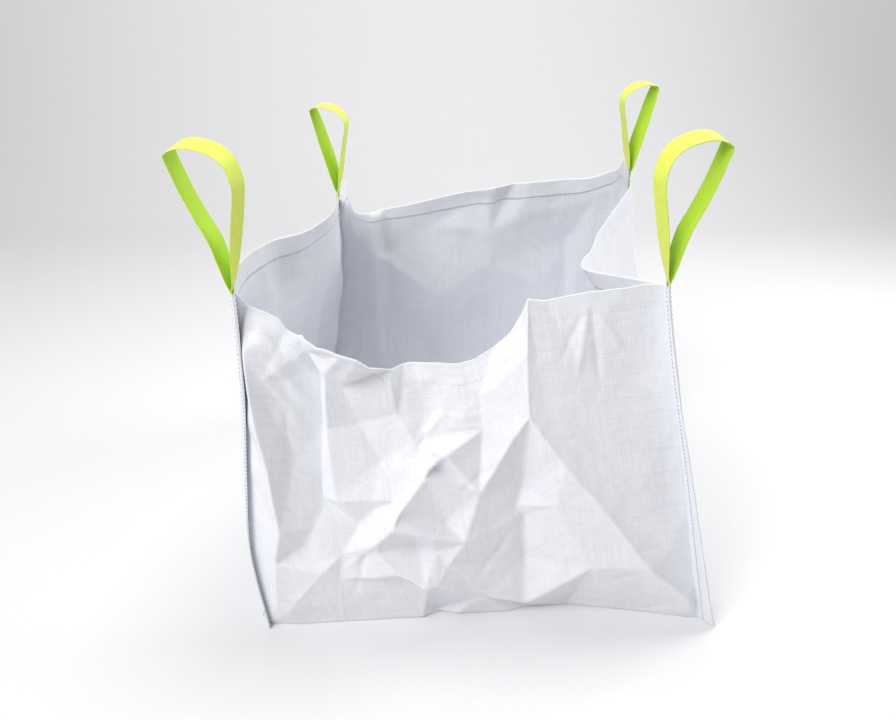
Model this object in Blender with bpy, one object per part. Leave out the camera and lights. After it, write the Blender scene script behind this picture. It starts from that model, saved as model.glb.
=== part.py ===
"""Open-top bulk bag: a U-shaped body panel, two side panels, four sewn-in lifting loops and their seams.

Metres, +Z up. The bag stands on the floor at z = 0 and its front faces -Y.
"""

import math

import bpy
from mathutils import Vector

CLOTH_THICK = 0.0012
GAP = 0.0003
FLANGE_WIDTH = 0.038
SEAM_OFFSET = 0.016
LAYER_CLEARANCE = 0.0007
FLANGE_INSET = 0.002
WEBBING_WIDTH = 0.040
TAIL_WIDTH = 0.034
WEBBING_STACK = 0.0032
WEBBING_THICK = 0.0016
TAIL_BOTTOM = 0.80
TAIL_RISE = 0.012
HINGE_DROP = 0.0024
HEM_DEPTH = 0.045
THREAD_WIDTH = 0.002
THREAD_THICK = 0.0008
THREAD_LIFT = CLOTH_THICK / 2 + GAP + 0.0001 + THREAD_THICK / 2

WALL_ROWS = 10
FLOOR_ROWS = 7
WALL_COLUMNS = 18
SIDE_COLUMNS = 16

# Each wall is a net of columns. A column runs from the floor up to the hem.
CORNER_FRONT_LEFT = ((-0.455, -0.450, 0), (-0.475, -0.442, 0.19), (-0.462, -0.436, 0.38),
                     (-0.446, -0.425, 0.57), (-0.445, -0.413, 0.735))
CORNER_FRONT_RIGHT = ((0.455, -0.445, 0), (0.420, -0.441, 0.19), (0.386, -0.430, 0.38),
                      (0.350, -0.408, 0.57), (0.325, -0.390, 0.732))
CORNER_BACK_LEFT = ((-0.450, 0.450, 0), (-0.448, 0.445, 0.20), (-0.425, 0.425, 0.39),
                    (-0.390, 0.402, 0.55), (-0.360, 0.385, 0.702))
CORNER_BACK_RIGHT = ((0.450, 0.450, 0), (0.448, 0.447, 0.20), (0.442, 0.430, 0.39),
                     (0.430, 0.406, 0.57), (0.413, 0.385, 0.745))

FRONT = (
    CORNER_FRONT_LEFT,
    ((-0.375, -0.452, 0), (-0.375, -0.450, 0.17), (-0.370, -0.438, 0.34), (-0.372, -0.426, 0.51),
     (-0.380, -0.412, 0.682)),
    ((-0.290, -0.447, 0), (-0.290, -0.452, 0.16), (-0.295, -0.445, 0.31), (-0.300, -0.428, 0.46),
     (-0.306, -0.405, 0.615)),
    ((-0.170, -0.440, 0), (-0.170, -0.458, 0.15), (-0.170, -0.462, 0.29), (-0.175, -0.448, 0.43),
     (-0.180, -0.395, 0.575)),
    ((-0.080, -0.420, 0), (-0.080, -0.448, 0.14), (-0.080, -0.462, 0.28), (-0.085, -0.455, 0.42),
     (-0.090, -0.382, 0.577)),
    ((0.020, -0.410, 0), (0.015, -0.443, 0.15), (0.010, -0.456, 0.30), (0.005, -0.446, 0.45),
     (-0.008, -0.385, 0.605)),
    ((0.105, -0.406, 0), (0.100, -0.438, 0.18), (0.090, -0.452, 0.36), (0.080, -0.436, 0.53),
     (0.072, -0.400, 0.706)),
    ((0.230, -0.405, 0), (0.225, -0.433, 0.18), (0.215, -0.444, 0.37), (0.205, -0.428, 0.55),
     (0.190, -0.396, 0.722)),
    ((0.350, -0.428, 0), (0.330, -0.438, 0.19), (0.312, -0.438, 0.38), (0.287, -0.420, 0.56),
     (0.265, -0.391, 0.726)),
    CORNER_FRONT_RIGHT,
)
BACK = (
    CORNER_BACK_LEFT,
    ((-0.290, 0.455, 0), (-0.285, 0.455, 0.20), (-0.275, 0.432, 0.38), (-0.275, 0.402, 0.53),
     (-0.285, 0.368, 0.668)),
    ((0.000, 0.460, 0), (0.000, 0.475, 0.20), (0.010, 0.455, 0.39), (0.015, 0.422, 0.56),
     (0.020, 0.385, 0.722)),
    ((0.220, 0.460, 0), (0.220, 0.475, 0.20), (0.220, 0.455, 0.40), (0.225, 0.425, 0.57),
     (0.230, 0.390, 0.745)),
    CORNER_BACK_RIGHT,
)
LEFT = (
    CORNER_FRONT_LEFT,
    ((-0.465, -0.270, 0), (-0.492, -0.260, 0.19), (-0.492, -0.250, 0.38), (-0.482, -0.240, 0.57),
     (-0.473, -0.225, 0.735)),
    ((-0.468, -0.100, 0), (-0.488, -0.100, 0.19), (-0.480, -0.100, 0.38), (-0.462, -0.100, 0.57),
     (-0.452, -0.100, 0.732)),
    ((-0.468, 0.050, 0), (-0.480, 0.040, 0.19), (-0.452, 0.030, 0.38), (-0.412, 0.005, 0.57),
     (-0.385, -0.015, 0.730)),
    ((-0.468, 0.190, 0), (-0.470, 0.180, 0.19), (-0.430, 0.160, 0.38), (-0.378, 0.130, 0.57),
     (-0.345, 0.105, 0.733)),
    ((-0.462, 0.330, 0), (-0.460, 0.320, 0.19), (-0.425, 0.300, 0.38), (-0.377, 0.270, 0.56),
     (-0.350, 0.245, 0.725)),
    CORNER_BACK_LEFT,
)
RIGHT = (
    CORNER_FRONT_RIGHT,
    ((0.462, -0.350, 0), (0.450, -0.350, 0.19), (0.402, -0.350, 0.38), (0.335, -0.345, 0.56),
     (0.262, -0.338, 0.727)),
    ((0.468, -0.230, 0), (0.455, -0.235, 0.19), (0.392, -0.245, 0.38), (0.290, -0.262, 0.56),
     (0.186, -0.280, 0.727)),
    ((0.472, -0.090, 0), (0.462, -0.095, 0.19), (0.402, -0.115, 0.38), (0.310, -0.145, 0.56),
     (0.223, -0.172, 0.728)),
    ((0.472, 0.040, 0), (0.468, 0.030, 0.19), (0.420, 0.010, 0.38), (0.342, -0.025, 0.56),
     (0.268, -0.050, 0.730)),
    ((0.468, 0.190, 0), (0.466, 0.185, 0.19), (0.442, 0.170, 0.38), (0.388, 0.145, 0.57),
     (0.330, 0.120, 0.738)),
    ((0.460, 0.330, 0), (0.458, 0.325, 0.19), (0.448, 0.315, 0.39), (0.420, 0.290, 0.57),
     (0.387, 0.262, 0.752)),
    CORNER_BACK_RIGHT,
)

# Each corner's flange directions, at the floor and at the hem.
FLANGES = {
    ("left", "front"): (Vector((0.20, -0.98, 0)), Vector((0.24, -0.97, 0))),
    ("right", "front"): (Vector((0.66, -0.75, 0)), Vector((-0.22, -0.975, 0))),
    ("left", "back"): (Vector((-0.35, 0.93, 0)), Vector((-0.10, 0.99, 0))),
    ("right", "back"): (Vector((0.35, 0.93, 0)), Vector((0.10, 0.99, 0))),
}
FLANGE_TURN = 0.6

# The free loop in its own plane: (outwards, upwards) from its hinge line, as drawn along the strap.
LOOP_CROTCH = (0.0, 0.010)
CROTCH_HALF = 0.0004
CROTCH_RISE = 0.0016
LOOP_PATHS = {
    "front": ((0.005, 0.026), (0.010, 0.052), (0.020, 0.090), (0.041, 0.128), (0.063, 0.172),
              (0.081, 0.217), (0.085, 0.232), (0.076, 0.242), (0.060, 0.2485), (0.040, 0.2505),
              (0.014, 0.2465), (-0.006, 0.2395), (-0.024, 0.2255), (-0.034, 0.206), (-0.038, 0.184),
              (-0.034, 0.157), (-0.029, 0.131), (-0.019, 0.083), (-0.011, 0.048), (-0.006, 0.025)),
    "back": ((0.004, 0.026), (0.007, 0.050), (0.015, 0.085), (0.029, 0.130), (0.044, 0.180),
             (0.054, 0.212), (0.049, 0.223), (0.025, 0.227), (-0.001, 0.222), (-0.022, 0.211),
             (-0.035, 0.195), (-0.037, 0.175), (-0.029, 0.140), (-0.021, 0.100), (-0.013, 0.060),
             (-0.006, 0.028)),
}
LOOP_WIDTH_AXIS = (0.31, 0.95)

MATERIALS = {
    "body_cloth": ((0.86, 0.87, 0.89), 0.55),
    "side_cloth": ((0.84, 0.85, 0.88), 0.55),
    "lifting_webbing": ((0.50, 0.78, 0.03), 0.60),
    "seam_thread": ((0.55, 0.62, 0.72), 0.65),
    "hem_thread": ((0.90, 0.91, 0.92), 0.65),
}


def clear_scene():
    for obj in list(bpy.data.objects):
        bpy.data.objects.remove(obj, do_unlink=True)


def material(slot):
    found = bpy.data.materials.get(slot)
    if found:
        return found
    colour, roughness = MATERIALS[slot]
    made = bpy.data.materials.new(slot)
    made.use_nodes = True
    shader = made.node_tree.nodes["Principled BSDF"]
    shader.inputs["Base Color"].default_value = (*colour, 1)
    shader.inputs["Roughness"].default_value = roughness
    shader.inputs["Metallic"].default_value = 0
    return made


def spline(points, where):
    """A Catmull-Rom curve through the points, at where = 0 to 1."""
    last = len(points) - 1
    position = min(max(where, 0), 1) * last
    i = min(int(position), last - 1)
    t = position - i
    a, b, c, d = (Vector(points[min(max(k, 0), last)]) for k in (i - 1, i, i + 1, i + 2))
    return b + 0.5 * t * (c - a + t * (2 * a - 5 * b + 4 * c - d + t * (3 * (b - c) + d - a)))


def on_net(net, across, up):
    return spline([spline(column, up) for column in net], across)


def side_sign(side):
    return 1 if side == "right" else -1


def flange_direction(side, end, up):
    low, high = FLANGES[side, end]
    return low.lerp(high, max(up, 0) ** FLANGE_TURN).normalized()


def flange_normal(side, end, up):
    """Across the flange, from the body panel's layer to the side panel's."""
    along = flange_direction(side, end, up)
    sign = side_sign(side) * (1 if end == "front" else -1)
    return Vector((-along.y, along.x, 0)) * sign


def layer_gap(up):
    """Between the middles of the two flange layers. They part round the webbing near the top."""
    closed = CLOTH_THICK + LAYER_CLEARANCE
    parted = CLOTH_THICK + 2 * LAYER_CLEARANCE + WEBBING_STACK
    blend = min(max((up - TAIL_BOTTOM + 0.15) / 0.10, 0), 1)
    return closed + (parted - closed) * blend


def corner_curve(side, end):
    return {
        ("left", "front"): CORNER_FRONT_LEFT,
        ("right", "front"): CORNER_FRONT_RIGHT,
        ("left", "back"): CORNER_BACK_LEFT,
        ("right", "back"): CORNER_BACK_RIGHT,
    }[side, end]


def mesh_object(name, points, faces, slot):
    mesh = bpy.data.meshes.new(name)
    mesh.from_pydata(points, [], faces)
    mesh.update()
    obj = bpy.data.objects.new(name, mesh)
    bpy.context.scene.collection.objects.link(obj)
    obj.data.materials.append(material(slot))
    return obj


def sheet(name, rows, thickness, slot):
    """A grid of points as a closed sheet, half its thickness on each side."""
    width = len(rows[0])
    points = [point for row in rows for point in row]
    faces = []
    for i in range(len(rows) - 1):
        for j in range(width - 1):
            corner = i * width + j
            faces.append((corner, corner + 1, corner + width + 1, corner + width))
    obj = mesh_object(name, points, faces, slot)
    solid = obj.modifiers.new("Thickness", "SOLIDIFY")
    solid.thickness = thickness
    solid.offset = 0
    solid.use_even_offset = True
    solid.use_quality_normals = True
    return obj


def grid_normal(rows, i, j):
    """The surface normal of a grid at one of its points."""
    along = rows[min(i + 1, len(rows) - 1)][j] - rows[max(i - 1, 0)][j]
    across = rows[i][min(j + 1, len(rows[0]) - 1)] - rows[i][max(j - 1, 0)]
    return across.cross(along).normalized()


def with_margins(row, first, last):
    """The row with a flange margin at both ends, each with a line of points along its seam."""
    before = [row[0] + first * FLANGE_WIDTH, row[0] + first * SEAM_OFFSET]
    after = [row[-1] + last * SEAM_OFFSET, row[-1] + last * FLANGE_WIDTH]
    return before + row + after


def with_hem_row(rows):
    """The rows, floor first, with one more along the hem's stitches."""
    hem = [top + (below - top).normalized() * HEM_DEPTH for below, top in zip(rows[-2], rows[-1])]
    return [*rows[:-1], hem, rows[-1]]


def wall_rows(net, end):
    """The front or back wall from the floor up to the hem."""
    rows = []
    for i in range(WALL_ROWS + 1):
        up = i / WALL_ROWS
        row = [on_net(net, j / WALL_COLUMNS, up) for j in range(WALL_COLUMNS + 1)]
        for point in row:
            point.z += CLOTH_THICK / 2
        rows.append(with_margins(row, flange_direction("left", end, up), flange_direction("right", end, up)))
    return with_hem_row(rows)


def floor_row(front, back, where):
    """One row of the bottom, with flat margins that lie under the side panels' ones."""
    row = [a.lerp(b, where) for a, b in zip(front[2:-2], back[2:-2])]
    return with_margins(row, Vector((-1, 0, 0)), Vector((1, 0, 0)))


def body_rows():
    """(front wall, floor, back wall) rows of the body panel, each in its own walking order from the floor."""
    front = wall_rows(FRONT, "front")
    back = wall_rows(BACK, "back")
    floor = [floor_row(front[0], back[0], (i + 1) / (FLOOR_ROWS + 1)) for i in range(FLOOR_ROWS)]
    return front, floor, back


def side_point(side, net, across, up):
    """A point of a side panel, kept one layer outside the body panel at its corners and its foot."""
    point = on_net(net, across, up)
    near_front = max(0, 1 - across * 8)
    near_back = max(0, 1 - (1 - across) * 8)
    point += flange_normal(side, "front", up) * layer_gap(up) * near_front
    point += flange_normal(side, "back", up) * layer_gap(up) * near_back
    point.z += CLOTH_THICK / 2 + (CLOTH_THICK + GAP) * (1 - up)
    return point


def side_rows(side):
    """A side panel from the floor up to the hem, after the two rows of its margin along the floor."""
    net = RIGHT if side == "right" else LEFT
    outwards = Vector((side_sign(side), 0, 0))
    rows = []
    for i in range(WALL_ROWS + 1):
        up = i / WALL_ROWS
        row = [side_point(side, net, j / SIDE_COLUMNS, up) for j in range(SIDE_COLUMNS + 1)]
        front, back = (flange_direction(side, end, up) for end in ("front", "back"))
        rows.append(with_margins(row, front, back))
    margin = [[point + outwards * out for point in rows[0]] for out in (FLANGE_WIDTH, SEAM_OFFSET)]
    return margin + with_hem_row(rows)


def tail_middle(side, end, up):
    """The middle of the gap between the two flange layers, at the corner line."""
    point = spline(corner_curve(side, end), up)
    point.z += CLOTH_THICK / 2
    return point + flange_normal(side, end, up) * layer_gap(up) / 2


def make_tail(side, end):
    """Both sewn ends of the loop, pressed together between the two flange layers."""
    rows = []
    for up in (TAIL_BOTTOM, (1 + TAIL_BOTTOM) / 2, 1):
        start = tail_middle(side, end, up)
        along = flange_direction(side, end, up)
        rows.append([start + along * (FLANGE_INSET + TAIL_WIDTH * j / 2) for j in range(3)])
    base, width_axis, _, up_axis = loop_frame(side, end)
    if width_axis.dot(flange_direction(side, end, 1)) < 0:
        width_axis = -width_axis
    rows.append([base - up_axis * HINGE_DROP + width_axis * TAIL_WIDTH * (j - 1) / 2 for j in range(3)])
    sheet(f"loop_tail_{end}_{side}", rows, WEBBING_STACK, "lifting_webbing")


def loop_frame(side, end):
    """(hinge point, width axis, outward axis, upward axis) of a free loop."""
    base = tail_middle(side, end, 1) + flange_direction(side, end, 1) * (FLANGE_INSET + TAIL_WIDTH / 2)
    base.z += TAIL_RISE
    up = Vector((0, 0, 1))
    width = Vector((LOOP_WIDTH_AXIS[0], -LOOP_WIDTH_AXIS[1] * side_sign(side), 0)).normalized()
    return base, width, up.cross(width), up


def loop_ring(end):
    """Pairs of (inner, outer) points round the hole of the loop, in its own plane, with a round foot."""
    half = WEBBING_THICK
    cx, cy = LOOP_CROTCH
    turns = [math.pi * i / 3 for i in range(4)]
    foot = [(half * math.cos(turn), -half * math.sin(turn)) for turn in turns]
    outer = [(cx + half, cy), *foot, (cx - half, cy)]
    rises = [CROTCH_RISE * share for share in (1, 0.4, 0.4, 0.4, 0.4, 1)]
    inner = [(cx + CROTCH_HALF * (1 - 0.4 * i), cy + rise) for i, rise in enumerate(rises)]
    path = [Vector(point) for point in LOOP_PATHS[end]]
    legs = []
    for i, here in enumerate(path):
        before = path[i - 1] if i else Vector(LOOP_CROTCH)
        after = path[i + 1] if i + 1 < len(path) else Vector(LOOP_CROTCH)
        tangent = (after - before).normalized()
        normal = Vector((-tangent.y, tangent.x))
        legs.append((here + normal * WEBBING_THICK / 2, here - normal * WEBBING_THICK / 2))
    return list(zip(inner, outer)), legs


def make_loop(side, end):
    """The free part of a loop: a teardrop of strap whose two ends close on a short stem."""
    base, width_axis, outwards, up = loop_frame(side, end)
    stem, legs = loop_ring(end)
    pairs = stem + [(tuple(inner), tuple(outer)) for inner, outer in reversed(legs)]
    points = []
    for across in (-WEBBING_WIDTH / 2, WEBBING_WIDTH / 2):
        for pair in pairs:
            points += [width_axis * across + outwards * x + up * y for x, y in pair]
    count = len(pairs)
    far = 2 * count
    faces = []
    for i in range(count):
        j = (i + 1) % count
        inner_a, outer_a, inner_b, outer_b = 2 * i, 2 * i + 1, 2 * j, 2 * j + 1
        faces.append((inner_a, outer_a, outer_b, inner_b))
        faces.append((inner_a + far, inner_b + far, outer_b + far, outer_a + far))
        faces.append((outer_a, outer_a + far, outer_b + far, outer_b))
        faces.append((inner_a, inner_b, inner_b + far, inner_a + far))
    obj = mesh_object(f"loop_{end}_{side}", points, faces, "lifting_webbing")
    obj.location = base
    return obj


def strip_between(name, middles, sideways, slot):
    """A thin flat strip along the points, with the given half-width vector at each."""
    rows = [[middle - side, middle + side] for middle, side in zip(middles, sideways)]
    return sheet(name, rows, THREAD_THICK, slot)


def make_corner_thread(wall, side, end):
    """The line of stitches down a corner seam, on the body panel's side of the flange."""
    seam = 1 if side == "left" else -2
    toe = [low.lerp(high, 0.2) for low, high in zip(wall[0], wall[1])]
    middles = []
    sideways = []
    for i, row in enumerate([toe, *wall[1:]]):
        up = min(i / WALL_ROWS, 1)
        middles.append(row[seam] - flange_normal(side, end, up) * THREAD_LIFT)
        sideways.append(flange_direction(side, end, up) * THREAD_WIDTH / 2)
    strip_between(f"corner_stitches_{end}_{side}", middles, sideways, "seam_thread")


def make_floor_thread(rows, side):
    """The line of stitches along a bottom seam, on top of the side panel's margin."""
    middles = [point + Vector((0, 0, THREAD_LIFT)) for point in rows[1][4:-4]]
    sideways = [Vector((THREAD_WIDTH / 2, 0, 0))] * len(middles)
    strip_between(f"floor_stitches_{side}", middles, sideways, "seam_thread")


def make_hem_thread(name, rows, outside):
    """The line of stitches that holds the hem down, on the outside of the wall. outside is 1 or -1."""
    middles = []
    sideways = []
    hem = len(rows) - 2
    for j in range(3, len(rows[0]) - 3):
        point = rows[hem][j]
        middles.append(point + grid_normal(rows, hem, j) * outside * THREAD_LIFT)
        sideways.append((rows[-1][j] - point).normalized() * THREAD_WIDTH / 2)
    strip_between(name, middles, sideways, "hem_thread")


def main():
    clear_scene()
    front, floor, back = body_rows()
    sides = {side: side_rows(side) for side in ("left", "right")}
    sheet("body_panel", front[::-1] + floor + back, CLOTH_THICK, "body_cloth")
    for side, rows in sides.items():
        sheet(f"{side}_panel", rows, CLOTH_THICK, "side_cloth")
        make_floor_thread(rows, side)
        make_hem_thread(f"hem_stitches_{side}", rows, side_sign(side))
        for end, wall in (("front", front), ("back", back)):
            make_tail(side, end)
            make_loop(side, end)
            make_corner_thread(wall, side, end)
    make_hem_thread("hem_stitches_front", front, 1)
    make_hem_thread("hem_stitches_back", back, -1)


main()
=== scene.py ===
import math
import random

import bpy
import numpy as np
from mathutils import Matrix, Vector, noise
from mathutils.geometry import delaunay_2d_cdt


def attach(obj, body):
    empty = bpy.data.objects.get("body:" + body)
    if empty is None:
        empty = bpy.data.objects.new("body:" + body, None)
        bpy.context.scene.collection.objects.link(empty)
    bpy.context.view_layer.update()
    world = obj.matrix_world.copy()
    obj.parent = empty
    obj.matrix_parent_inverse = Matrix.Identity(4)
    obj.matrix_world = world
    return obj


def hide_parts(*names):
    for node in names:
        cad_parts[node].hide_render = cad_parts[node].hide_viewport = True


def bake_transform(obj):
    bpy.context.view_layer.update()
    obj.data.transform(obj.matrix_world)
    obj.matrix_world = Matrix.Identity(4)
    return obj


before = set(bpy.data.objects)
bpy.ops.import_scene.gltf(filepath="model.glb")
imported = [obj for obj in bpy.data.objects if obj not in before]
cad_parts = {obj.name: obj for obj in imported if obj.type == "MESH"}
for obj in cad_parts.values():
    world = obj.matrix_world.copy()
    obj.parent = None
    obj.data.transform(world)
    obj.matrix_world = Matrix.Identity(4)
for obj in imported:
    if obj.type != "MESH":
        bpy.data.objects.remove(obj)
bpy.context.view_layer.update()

# ---------------------------------------------------------------- dimensions, in metres

CLOTH_THICK = 0.0007
CAD_CLOTH = 0.0012
LAYER_CLEARANCE = 0.0007
# Between a seam's two layers lie both ends of a strap.
WEBBING_STACK = 0.0032
WEBBING_WIDTH = 0.040
WEBBING_THICK = 0.0014
TAIL_WIDTH = 0.034
TAIL_RISE = 0.012
# The sewn-in strap ends start at this share of a corner's height, and the layers part below them.
TAIL_BOTTOM = 0.80
PARTING_FROM = 0.65
PARTING_OVER = 0.10
SEAM_OFFSET = 0.016
FLANGE_INSET = 0.002
FLOOR_UNEVEN = 0.0010
# A bottom margin's share of its width at the front corner, and the distance in which it widens.
FOOT_START = 0.06
FOOT_GROWTH = 0.16
SIDEWAYS = np.array([1.0, 0.0, 0.0])
BACKWARDS = np.array([0.0, 1.0, 0.0])
WALL_FACING = {"front": (0, -1, 0), "back": (0, 1, 0), "left": (-1, 0, 0), "right": (1, 0, 0)}

# The hem: the cloth turned in, how its stitches draw it, and the part of the front hem that rolls inwards.
HEM_DEPTH = 0.045
HEM_STITCH = 0.040
HEM_LAYER = 0.0009
HEM_TOP = 0.0012
HEM_LEVELS = (0, 0.0012, 0.004, 0.009, 0.015, 0.021, 0.027, 0.033, 0.039, HEM_DEPTH)
GROOVE_DEPTH = 0.0005
GROOVE_SPREAD = 0.0045
PUCKER_DEPTH = 0.0011
PUCKER_SPREAD = 0.011
ROLL_DEPTH = 0.016
ROLL_RISE = 0.004
ROLL_SLACK = 0.9
HEM_ROLL = ((-0.336, 0.0), (-0.318, 0.75), (-0.285, 1.0), (-0.215, 0.9), (-0.165, 0.0))

# The corner lines and the walls' nets: columns of points, each from the floor up.
CORNER_FRONT_LEFT = ((-0.455, -0.450, 0), (-0.475, -0.442, 0.19), (-0.462, -0.436, 0.38),
                     (-0.446, -0.425, 0.57), (-0.445, -0.413, 0.735))
CORNER_FRONT_RIGHT = ((0.455, -0.445, 0), (0.420, -0.441, 0.19), (0.386, -0.430, 0.38),
                      (0.350, -0.408, 0.57), (0.325, -0.390, 0.732))
CORNER_BACK_LEFT = ((-0.450, 0.450, 0), (-0.448, 0.445, 0.20), (-0.425, 0.425, 0.39),
                    (-0.390, 0.402, 0.55), (-0.360, 0.385, 0.702))
CORNER_BACK_RIGHT = ((0.450, 0.450, 0), (0.448, 0.447, 0.20), (0.442, 0.430, 0.39),
                     (0.430, 0.406, 0.57), (0.413, 0.385, 0.745))
CORNERS = {("left", "front"): CORNER_FRONT_LEFT, ("right", "front"): CORNER_FRONT_RIGHT,
           ("left", "back"): CORNER_BACK_LEFT, ("right", "back"): CORNER_BACK_RIGHT}

BACK = (
    CORNER_BACK_LEFT,
    ((-0.290, 0.455, 0), (-0.285, 0.455, 0.20), (-0.275, 0.432, 0.38), (-0.275, 0.402, 0.53),
     (-0.285, 0.368, 0.668)),
    ((0.000, 0.460, 0), (0.000, 0.475, 0.20), (0.010, 0.455, 0.39), (0.015, 0.422, 0.56),
     (0.020, 0.385, 0.722)),
    ((0.220, 0.460, 0), (0.220, 0.475, 0.20), (0.220, 0.455, 0.40), (0.225, 0.425, 0.57),
     (0.230, 0.390, 0.745)),
    CORNER_BACK_RIGHT,
)
LEFT = (
    CORNER_FRONT_LEFT,
    ((-0.465, -0.270, 0), (-0.492, -0.260, 0.19), (-0.492, -0.250, 0.38), (-0.482, -0.240, 0.57),
     (-0.473, -0.225, 0.735)),
    ((-0.468, -0.100, 0), (-0.488, -0.100, 0.19), (-0.480, -0.100, 0.38), (-0.462, -0.100, 0.57),
     (-0.452, -0.100, 0.732)),
    ((-0.468, 0.050, 0), (-0.480, 0.040, 0.19), (-0.452, 0.030, 0.38), (-0.412, 0.005, 0.57),
     (-0.385, -0.015, 0.730)),
    ((-0.468, 0.190, 0), (-0.470, 0.180, 0.19), (-0.430, 0.160, 0.38), (-0.378, 0.130, 0.57),
     (-0.345, 0.105, 0.733)),
    ((-0.462, 0.330, 0), (-0.460, 0.320, 0.19), (-0.425, 0.300, 0.38), (-0.377, 0.270, 0.56),
     (-0.350, 0.245, 0.725)),
    CORNER_BACK_LEFT,
)
RIGHT = (
    CORNER_FRONT_RIGHT,
    ((0.462, -0.350, 0), (0.450, -0.350, 0.19), (0.402, -0.350, 0.38), (0.335, -0.345, 0.56),
     (0.262, -0.338, 0.727)),
    ((0.468, -0.230, 0), (0.455, -0.235, 0.19), (0.392, -0.245, 0.38), (0.290, -0.262, 0.56),
     (0.186, -0.280, 0.727)),
    ((0.472, -0.090, 0), (0.462, -0.095, 0.19), (0.402, -0.115, 0.38), (0.310, -0.145, 0.56),
     (0.223, -0.172, 0.728)),
    ((0.472, 0.040, 0), (0.468, 0.030, 0.19), (0.420, 0.010, 0.38), (0.342, -0.025, 0.56),
     (0.268, -0.050, 0.730)),
    ((0.468, 0.190, 0), (0.466, 0.185, 0.19), (0.442, 0.170, 0.38), (0.388, 0.145, 0.57),
     (0.330, 0.120, 0.738)),
    ((0.460, 0.330, 0), (0.458, 0.325, 0.19), (0.448, 0.315, 0.39), (0.420, 0.290, 0.57),
     (0.387, 0.262, 0.752)),
    CORNER_BACK_RIGHT,
)
SIDES = {"left": LEFT, "right": RIGHT}
SIDE_SEEDS = {"left": 30, "right": 20}

# Each corner's flange directions, at the floor and at the hem.
FLANGES = {("left", "front"): ((0.20, -0.98, 0), (0.24, -0.97, 0)),
           ("right", "front"): ((0.66, -0.75, 0), (-0.22, -0.975, 0)),
           ("left", "back"): ((-0.35, 0.93, 0), (-0.10, 0.99, 0)),
           ("right", "back"): ((0.35, 0.93, 0), (0.10, 0.99, 0))}
FLANGE_TURN = 0.6

# A seam margin's columns: their distances outwards, how far they close on the other layer, and how far
# they rise to cover the webbing.
MARGIN_WIDTHS = np.array([0.002, 0.006, 0.011, SEAM_OFFSET, 0.022, 0.029, 0.0365, 0.0415])
MARGIN_CLOSING = np.array([0, 0, 0, 0, 0, 0, 0.15, 1.0])
MARGIN_RISE = np.array([0.2, 0.6, 0.9, 1, 1, 1, 0.9, 0.7])
MARGIN_COLUMNS = len(MARGIN_WIDTHS)
# How much of its width a corner margin keeps below the webbing.
TRIMMED = {("left", "front"): 0.45}
TRIMMED_TO = 0.66
TRIM_FADE = 0.10

# The front wall's folds: named points (x, y, z), and the creases that run between them.
FRONT_HEM = {
    "h1": (-0.425, -0.416, 0.710), "h2": (-0.395, -0.419, 0.700), "h3": (-0.370, -0.421, 0.685),
    "h4": (-0.360, -0.423, 0.665), "h5": (-0.340, -0.424, 0.650), "f0": (-0.330, -0.440, 0.660),
    "f1": (-0.315, -0.474, 0.670), "f2": (-0.295, -0.480, 0.655), "f3": (-0.260, -0.480, 0.640),
    "f4": (-0.230, -0.472, 0.625), "f5": (-0.210, -0.456, 0.602), "f6": (-0.175, -0.428, 0.585),
    "m1": (-0.155, -0.406, 0.582), "m2": (-0.135, -0.400, 0.584), "m3": (-0.085, -0.397, 0.582),
    "m4": (-0.050, -0.397, 0.580), "m5": (-0.020, -0.398, 0.590), "m6": (0.015, -0.400, 0.615),
    "m7": (0.045, -0.404, 0.645), "m8": (0.065, -0.404, 0.680), "m9": (0.075, -0.410, 0.715),
    "r1": (0.105, -0.408, 0.710), "r2": (0.160, -0.406, 0.720), "r3": (0.185, -0.405, 0.725),
    "r4": (0.250, -0.401, 0.730), "r5": (0.290, -0.396, 0.735),
}
FRONT_FLOOR = {
    "g00": (-0.391, -0.454, 0), "g01": (-0.296, -0.447, 0), "g02": (-0.130, -0.437, 0),
    "g03": (-0.094, -0.417, 0), "g04": (0.091, -0.407, 0), "g05": (0.185, -0.402, 0),
    "g06": (0.337, -0.425, 0), "g07": (0.419, -0.441, 0),
}
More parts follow.
